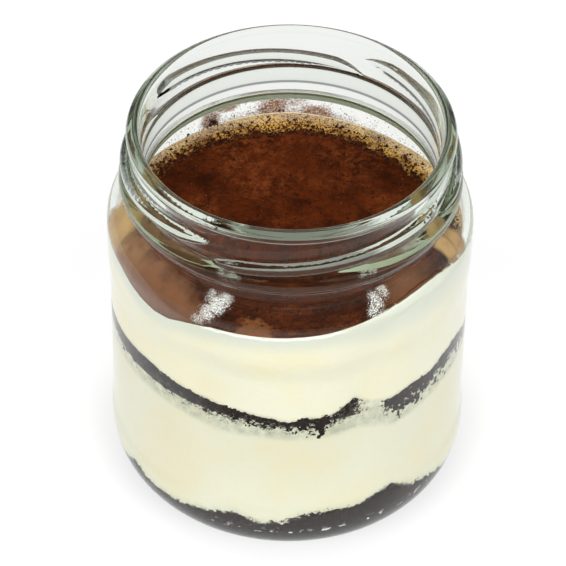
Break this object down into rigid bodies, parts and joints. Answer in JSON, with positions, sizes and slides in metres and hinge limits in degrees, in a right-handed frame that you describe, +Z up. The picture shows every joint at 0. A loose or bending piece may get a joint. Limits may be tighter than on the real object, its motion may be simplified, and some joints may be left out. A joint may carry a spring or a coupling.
{
  "type": "tiramisu jar",
  "caption": "Open clear glass jar with a lug-thread neck, filled to the shoulder with layers of cream and chocolate crumb under a cocoa dusting.",
  "frame": {"origin": "centre of the jar's base, on the surface it stands on", "axes": "+Z up along the jar's axis, -Y towards the front that the picture shows, +X to its right"},
  "size_m": [0.07, 0.07, 0.0816],
  "materials": {
    "jar_glass": "clear, smooth moulded glass with a faint green tint",
    "cream": "smooth pale ivory cream, wet against the glass",
    "chocolate_crumb": "damp, near-black chocolate crumb",
    "cocoa": "dry, matte, red-brown cocoa powder"
  },
  "bodies": {
    "root": {"jar": "jar_glass", "crumb_base": "chocolate_crumb", "cream_lower": "cream", "crumb_middle": "chocolate_crumb", "cream_upper": "cream", "cocoa_top": "cocoa"}
  },
  "joints": []
}
